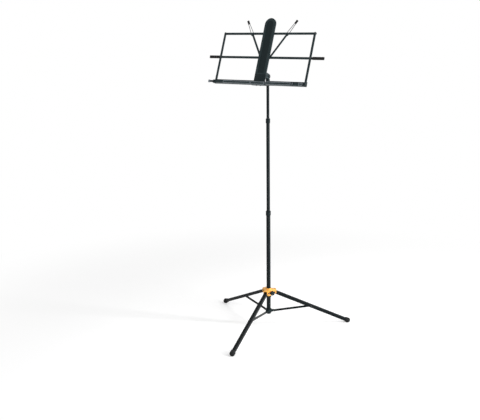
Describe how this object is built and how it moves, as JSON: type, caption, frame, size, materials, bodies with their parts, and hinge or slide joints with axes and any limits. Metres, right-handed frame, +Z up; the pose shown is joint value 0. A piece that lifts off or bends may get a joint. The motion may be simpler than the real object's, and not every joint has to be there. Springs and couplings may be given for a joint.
{
  "type": "music stand",
  "caption": "Folding music stand: telescopic mast with twist clutches on a braced tripod with a sliding hub, and a tilting folding desk with shelf and page supports.",
  "frame": {"origin": "on the floor, where the axis of the mast meets it", "axes": "+Z up the mast; the desk faces -Y, and +X is to the reader's right"},
  "size_m": [0.7396, 0.691, 1.546],
  "materials": {
    "tube_paint": "satin black paint",
    "leg_paint": "satin black paint",
    "desk_paint": "satin black paint",
    "shelf_paint": "satin dark grey paint",
    "hub_orange": "moulded yellow-orange plastic",
    "black_plastic": "fine moulded texture",
    "rubber": "matt black rubber",
    "wire": "black coated wire",
    "fastener": "blackened steel"
  },
  "bodies": {
    "mast_base": {"lower_tube": "tube_paint", "tube_plug": "black_plastic", "lower_collar": "black_plastic", "lower_bush": "black_plastic"},
    "hub": {"hub": "hub_orange", "hub_pins": "fastener"},
    "hub_clamp": {"hub_knob": "black_plastic", "hub_screw": "fastener"},
    "lower_clutch": {"lower_clutch_ring": "black_plastic"},
    "middle_mast": {"middle_tube": "tube_paint", "middle_glide": "black_plastic", "upper_bush": "black_plastic"},
    "upper_clutch": {"upper_clutch_ring": "black_plastic"},
    "upper_mast": {"upper_tube": "tube_paint", "upper_glide": "black_plastic"},
    "head": {"mast_head": "black_plastic"},
    "desk": {"desk_bracket": "desk_paint", "desk_screws": "fastener", "spine": "desk_paint", "spine_foot": "black_plastic", "shelf_trough": "shelf_paint", "spine_rivets": "fastener"},
    "tilt_clamp": {"tilt_knob": "black_plastic", "tilt_bolt": "fastener"},
    "leg_right": {"leg_right": "leg_paint", "foot_right": "rubber", "leg_rivet_right": "fastener"},
    "brace_right": {"brace_right": "leg_paint", "brace_pin_right": "fastener"},
    "leg_left": {"leg_left": "leg_paint", "foot_left": "rubber", "leg_rivet_left": "fastener"},
    "brace_left": {"brace_left": "leg_paint", "brace_pin_left": "fastener"},
    "leg_front": {"leg_front": "leg_paint", "foot_front": "rubber", "leg_rivet_front": "fastener"},
    "brace_front": {"brace_front": "leg_paint", "brace_pin_front": "fastener"},
    "shelf_right": {"shelf_bar_right": "shelf_paint", "corner_block_right": "black_plastic", "shelf_clip": "black_plastic"},
    "edge_right": {"side_bar_right": "desk_paint", "side_rivets_right": "fastener"},
    "middle_bar_right": {"mid_bar_right": "desk_paint", "bar_sleeve_right": "rubber"},
    "top_bar_right": {"top_bar_right": "desk_paint"},
    "page_right": {"page_arm_right": "desk_paint", "page_wire_right": "wire", "page_tip_right": "rubber"},
    "shelf_left": {"shelf_bar_left": "shelf_paint", "corner_block_left": "black_plastic"},
    "edge_left": {"side_bar_left": "desk_paint", "side_rivets_left": "fastener"},
    "middle_bar_left": {"mid_bar_left": "desk_paint", "bar_sleeve_left": "rubber"},
    "top_bar_left": {"top_bar_left": "desk_paint"},
    "page_left": {"page_arm_left": "desk_paint", "page_wire_left": "wire", "page_tip_left": "rubber"}
  },
  "joints": [
    {"name": "hub_slide", "type": "slide", "parent": "mast_base", "child": "hub", "axis": [0, 0, 1], "range_m": [0, 0.29858]},
    {"name": "hub_knob_turn", "type": "hinge", "parent": "hub", "child": "hub_clamp", "pos_m": [0.02448, -0.01014, 0.185], "axis": [0.9239, -0.3827, 0], "range_deg": [0, 360]},
    {"name": "lower_clutch_twist", "type": "hinge", "parent": "mast_base", "child": "lower_clutch", "pos_m": [0, 0, 0.6], "axis": [0, 0, 1], "range_deg": [0, 90]},
    {"name": "middle_slide", "type": "slide", "parent": "mast_base", "child": "middle_mast", "axis": [0, 0, 1], "range_m": [-0.435, 0.025]},
    {"name": "upper_clutch_twist", "type": "hinge", "parent": "middle_mast", "child": "upper_clutch", "pos_m": [0, 0, 1.062], "axis": [0, 0, 1], "range_deg": [0, 90]},
    {"name": "upper_slide", "type": "slide", "parent": "middle_mast", "child": "upper_mast", "axis": [0, 0, 1], "range_m": [-0.16, 0.24]},
    {"name": "desk_swivel", "type": "hinge", "parent": "upper_mast", "child": "head", "pos_m": [0, 0, 1.25], "axis": [0, 0, 1], "continuous": true},
    {"name": "desk_tilt", "type": "hinge", "parent": "head", "child": "desk", "pos_m": [0, 0, 1.274], "axis": [-1, 0, 0], "range_deg": [-21.5, 58]},
    {"name": "tilt_knob_turn", "type": "hinge", "parent": "desk", "child": "tilt_clamp", "pos_m": [-0.015, 0, 1.274], "axis": [-1, 0, 0], "range_deg": [0, 360]},
    {"name": "leg_right_fold", "type": "hinge", "parent": "hub", "child": "leg_right", "pos_m": [0.0238, 0.01826, 0.185], "axis": [-0.6088, 0.7934, 0], "range_deg": [-0.01, 65.81]},
    {"name": "brace_right_fold", "type": "hinge", "parent": "leg_right", "child": "brace_right", "pos_m": [0.1736, 0.1332, 0.10016], "axis": [-0.6088, 0.7934, 0], "range_deg": [-149, 0.01]},
    {"name": "leg_left_fold", "type": "hinge", "parent": "hub", "child": "leg_left", "pos_m": [-0.02772, 0.01148, 0.185], "axis": [-0.3827, -0.9239, 0], "range_deg": [-0.01, 65.81]},
    {"name": "brace_left_fold", "type": "hinge", "parent": "leg_left", "child": "brace_left", "pos_m": [-0.20216, 0.08374, 0.10016], "axis": [-0.3827, -0.9239, 0], "range_deg": [-149, 0.01]},
    {"name": "leg_front_fold", "type": "hinge", "parent": "hub", "child": "leg_front", "pos_m": [0.00392, -0.02974, 0.185], "axis": [0.9914, 0.1305, 0], "range_deg": [-0.01, 65.81]},
    {"name": "brace_front_fold", "type": "hinge", "parent": "leg_front", "child": "brace_front", "pos_m": [0.02856, -0.21694, 0.10016], "axis": [0.9914, 0.1305, 0], "range_deg": [-149, 0.01]},
    {"name": "wing_right_fold", "type": "hinge", "parent": "desk", "child": "shelf_right", "pos_m": [0.024, -0.07341, 1.24724], "axis": [0, -0.9304, 0.3665], "range_deg": [0, 80]},
    {"name": "edge_right_turn", "type": "hinge", "parent": "shelf_right", "child": "edge_right", "pos_m": [0.25, -0.07341, 1.24724], "axis": [0, -0.9304, 0.3665], "range_deg": [-80.01, 0.01]},
    {"name": "middle_right_fold", "type": "hinge", "parent": "desk", "child": "middle_bar_right", "pos_m": [0.024, -0.02775, 1.36318], "axis": [0, -0.9304, 0.3665], "range_deg": [-0.01, 80.01]},
    {"name": "top_right_fold", "type": "hinge", "parent": "desk", "child": "top_bar_right", "pos_m": [0.024, 0.01572, 1.47352], "axis": [0, -0.9304, 0.3665], "range_deg": [-0.01, 80.01]},
    {"name": "page_right_swing", "type": "hinge", "parent": "desk", "child": "page_right", "pos_m": [0.024, -0.02365, 1.36156], "axis": [0, -0.9304, 0.3665], "range_deg": [-45, 31.7]},
    {"name": "wing_left_fold", "type": "hinge", "parent": "desk", "child": "shelf_left", "pos_m": [-0.024, -0.07341, 1.24724], "axis": [0, 0.9304, -0.3665], "range_deg": [0, 80]},
    {"name": "edge_left_turn", "type": "hinge", "parent": "shelf_left", "child": "edge_left", "pos_m": [-0.25, -0.07341, 1.24724], "axis": [0, 0.9304, -0.3665], "range_deg": [-80.01, 0.01]},
    {"name": "middle_left_fold", "type": "hinge", "parent": "desk", "child": "middle_bar_left", "pos_m": [-0.024, -0.02775, 1.36318], "axis": [0, 0.9304, -0.3665], "range_deg": [-0.01, 80.01]},
    {"name": "top_left_fold", "type": "hinge", "parent": "desk", "child": "top_bar_left", "pos_m": [-0.024, 0.01572, 1.47352], "axis": [0, 0.9304, -0.3665], "range_deg": [-0.01, 80.01]},
    {"name": "page_left_swing", "type": "hinge", "parent": "desk", "child": "page_left", "pos_m": [-0.024, -0.02365, 1.36156], "axis": [0, 0.9304, -0.3665], "range_deg": [-45, 31.7]}
  ],
  "couplings": [
    {"joint": "leg_right_fold", "follows": "hub_slide", "rad_per_m": 3.8465},
    {"joint": "brace_right_fold", "follows": "hub_slide", "rad_per_m": -8.7088},
    {"joint": "leg_left_fold", "follows": "hub_slide", "rad_per_m": 3.8465},
    {"joint": "brace_left_fold", "follows": "hub_slide", "rad_per_m": -8.7088},
    {"joint": "leg_front_fold", "follows": "hub_slide", "rad_per_m": 3.8465},
    {"joint": "brace_front_fold", "follows": "hub_slide", "rad_per_m": -8.7088},
    {"joint": "edge_right_turn", "follows": "wing_right_fold", "ratio": -1},
    {"joint": "middle_right_fold", "follows": "wing_right_fold", "ratio": 1},
    {"joint": "top_right_fold", "follows": "wing_right_fold", "ratio": 1},
    {"joint": "edge_left_turn", "follows": "wing_left_fold", "ratio": -1},
    {"joint": "middle_left_fold", "follows": "wing_left_fold", "ratio": 1},
    {"joint": "top_left_fold", "follows": "wing_left_fold", "ratio": 1}
  ]
}
